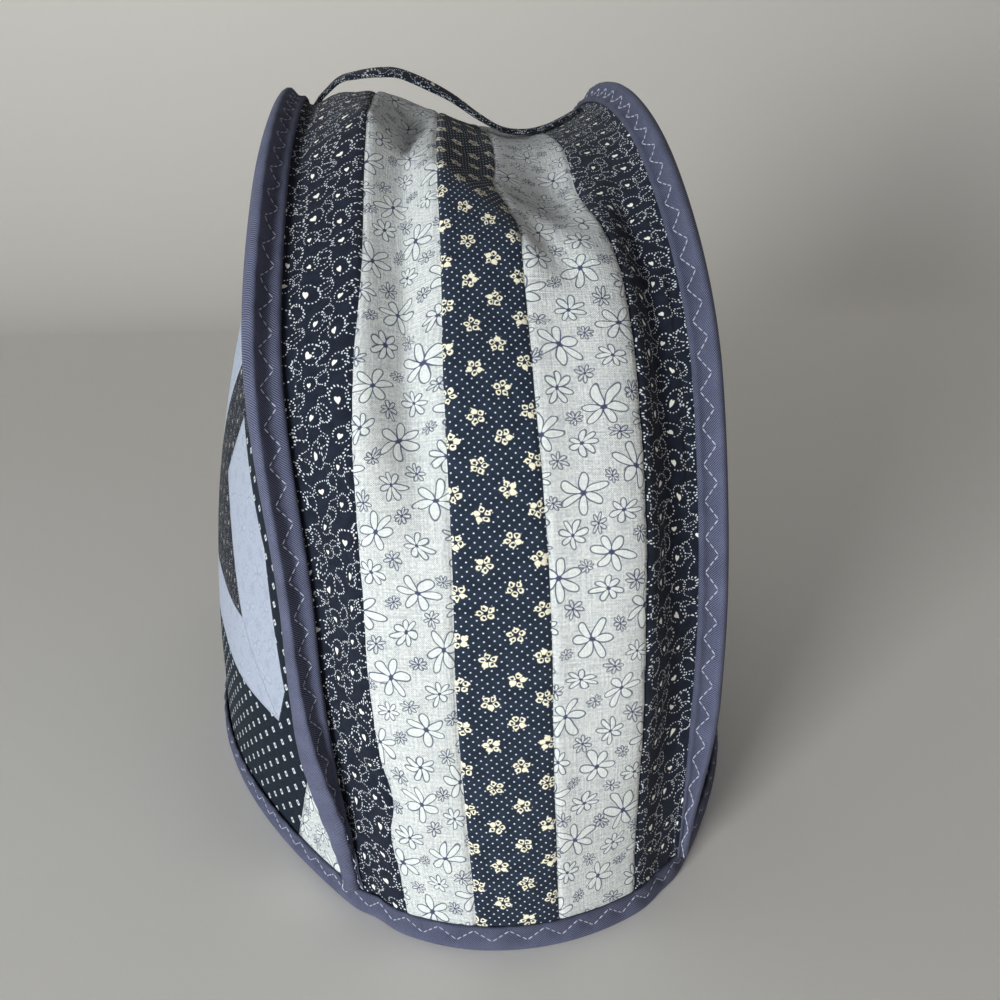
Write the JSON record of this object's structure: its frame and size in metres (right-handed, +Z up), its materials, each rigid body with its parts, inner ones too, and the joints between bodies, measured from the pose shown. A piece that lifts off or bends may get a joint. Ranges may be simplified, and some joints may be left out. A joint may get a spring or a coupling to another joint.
{
  "type": "toaster cover",
  "caption": "Padded patchwork toaster cover: arched side panels joined by a pieced gusset, bound seams and hem, and a carrying strap on top.",
  "frame": {"origin": "on the table under the middle of the cover, level with the underside of the hem", "axes": "+X towards the near narrow end, along the cover's length; -Y towards the front side panel; +Z up"},
  "size_m": [0.3273, 0.2003, 0.241],
  "materials": {
    "gusset_cloth": "pieced printed cotton over thin wadding, light and dark strips",
    "front_panel_cloth": "pieced printed cotton over thin wadding, mostly dark",
    "back_panel_cloth": "pieced printed cotton over thin wadding, mostly dark",
    "front_binding_tape": "slate blue twill tape with pale zigzag stitching",
    "back_binding_tape": "slate blue twill tape with pale zigzag stitching",
    "hem_binding_tape": "slate blue twill tape with pale zigzag stitching",
    "strap_cloth": "dark printed cotton, folded and stitched"
  },
  "bodies": {
    "root": {"gusset": "gusset_cloth", "front_panel": "front_panel_cloth", "back_panel": "back_panel_cloth", "front_binding": "front_binding_tape", "back_binding": "back_binding_tape", "hem_binding": "hem_binding_tape", "handle_strap": "strap_cloth"}
  },
  "joints": []
}
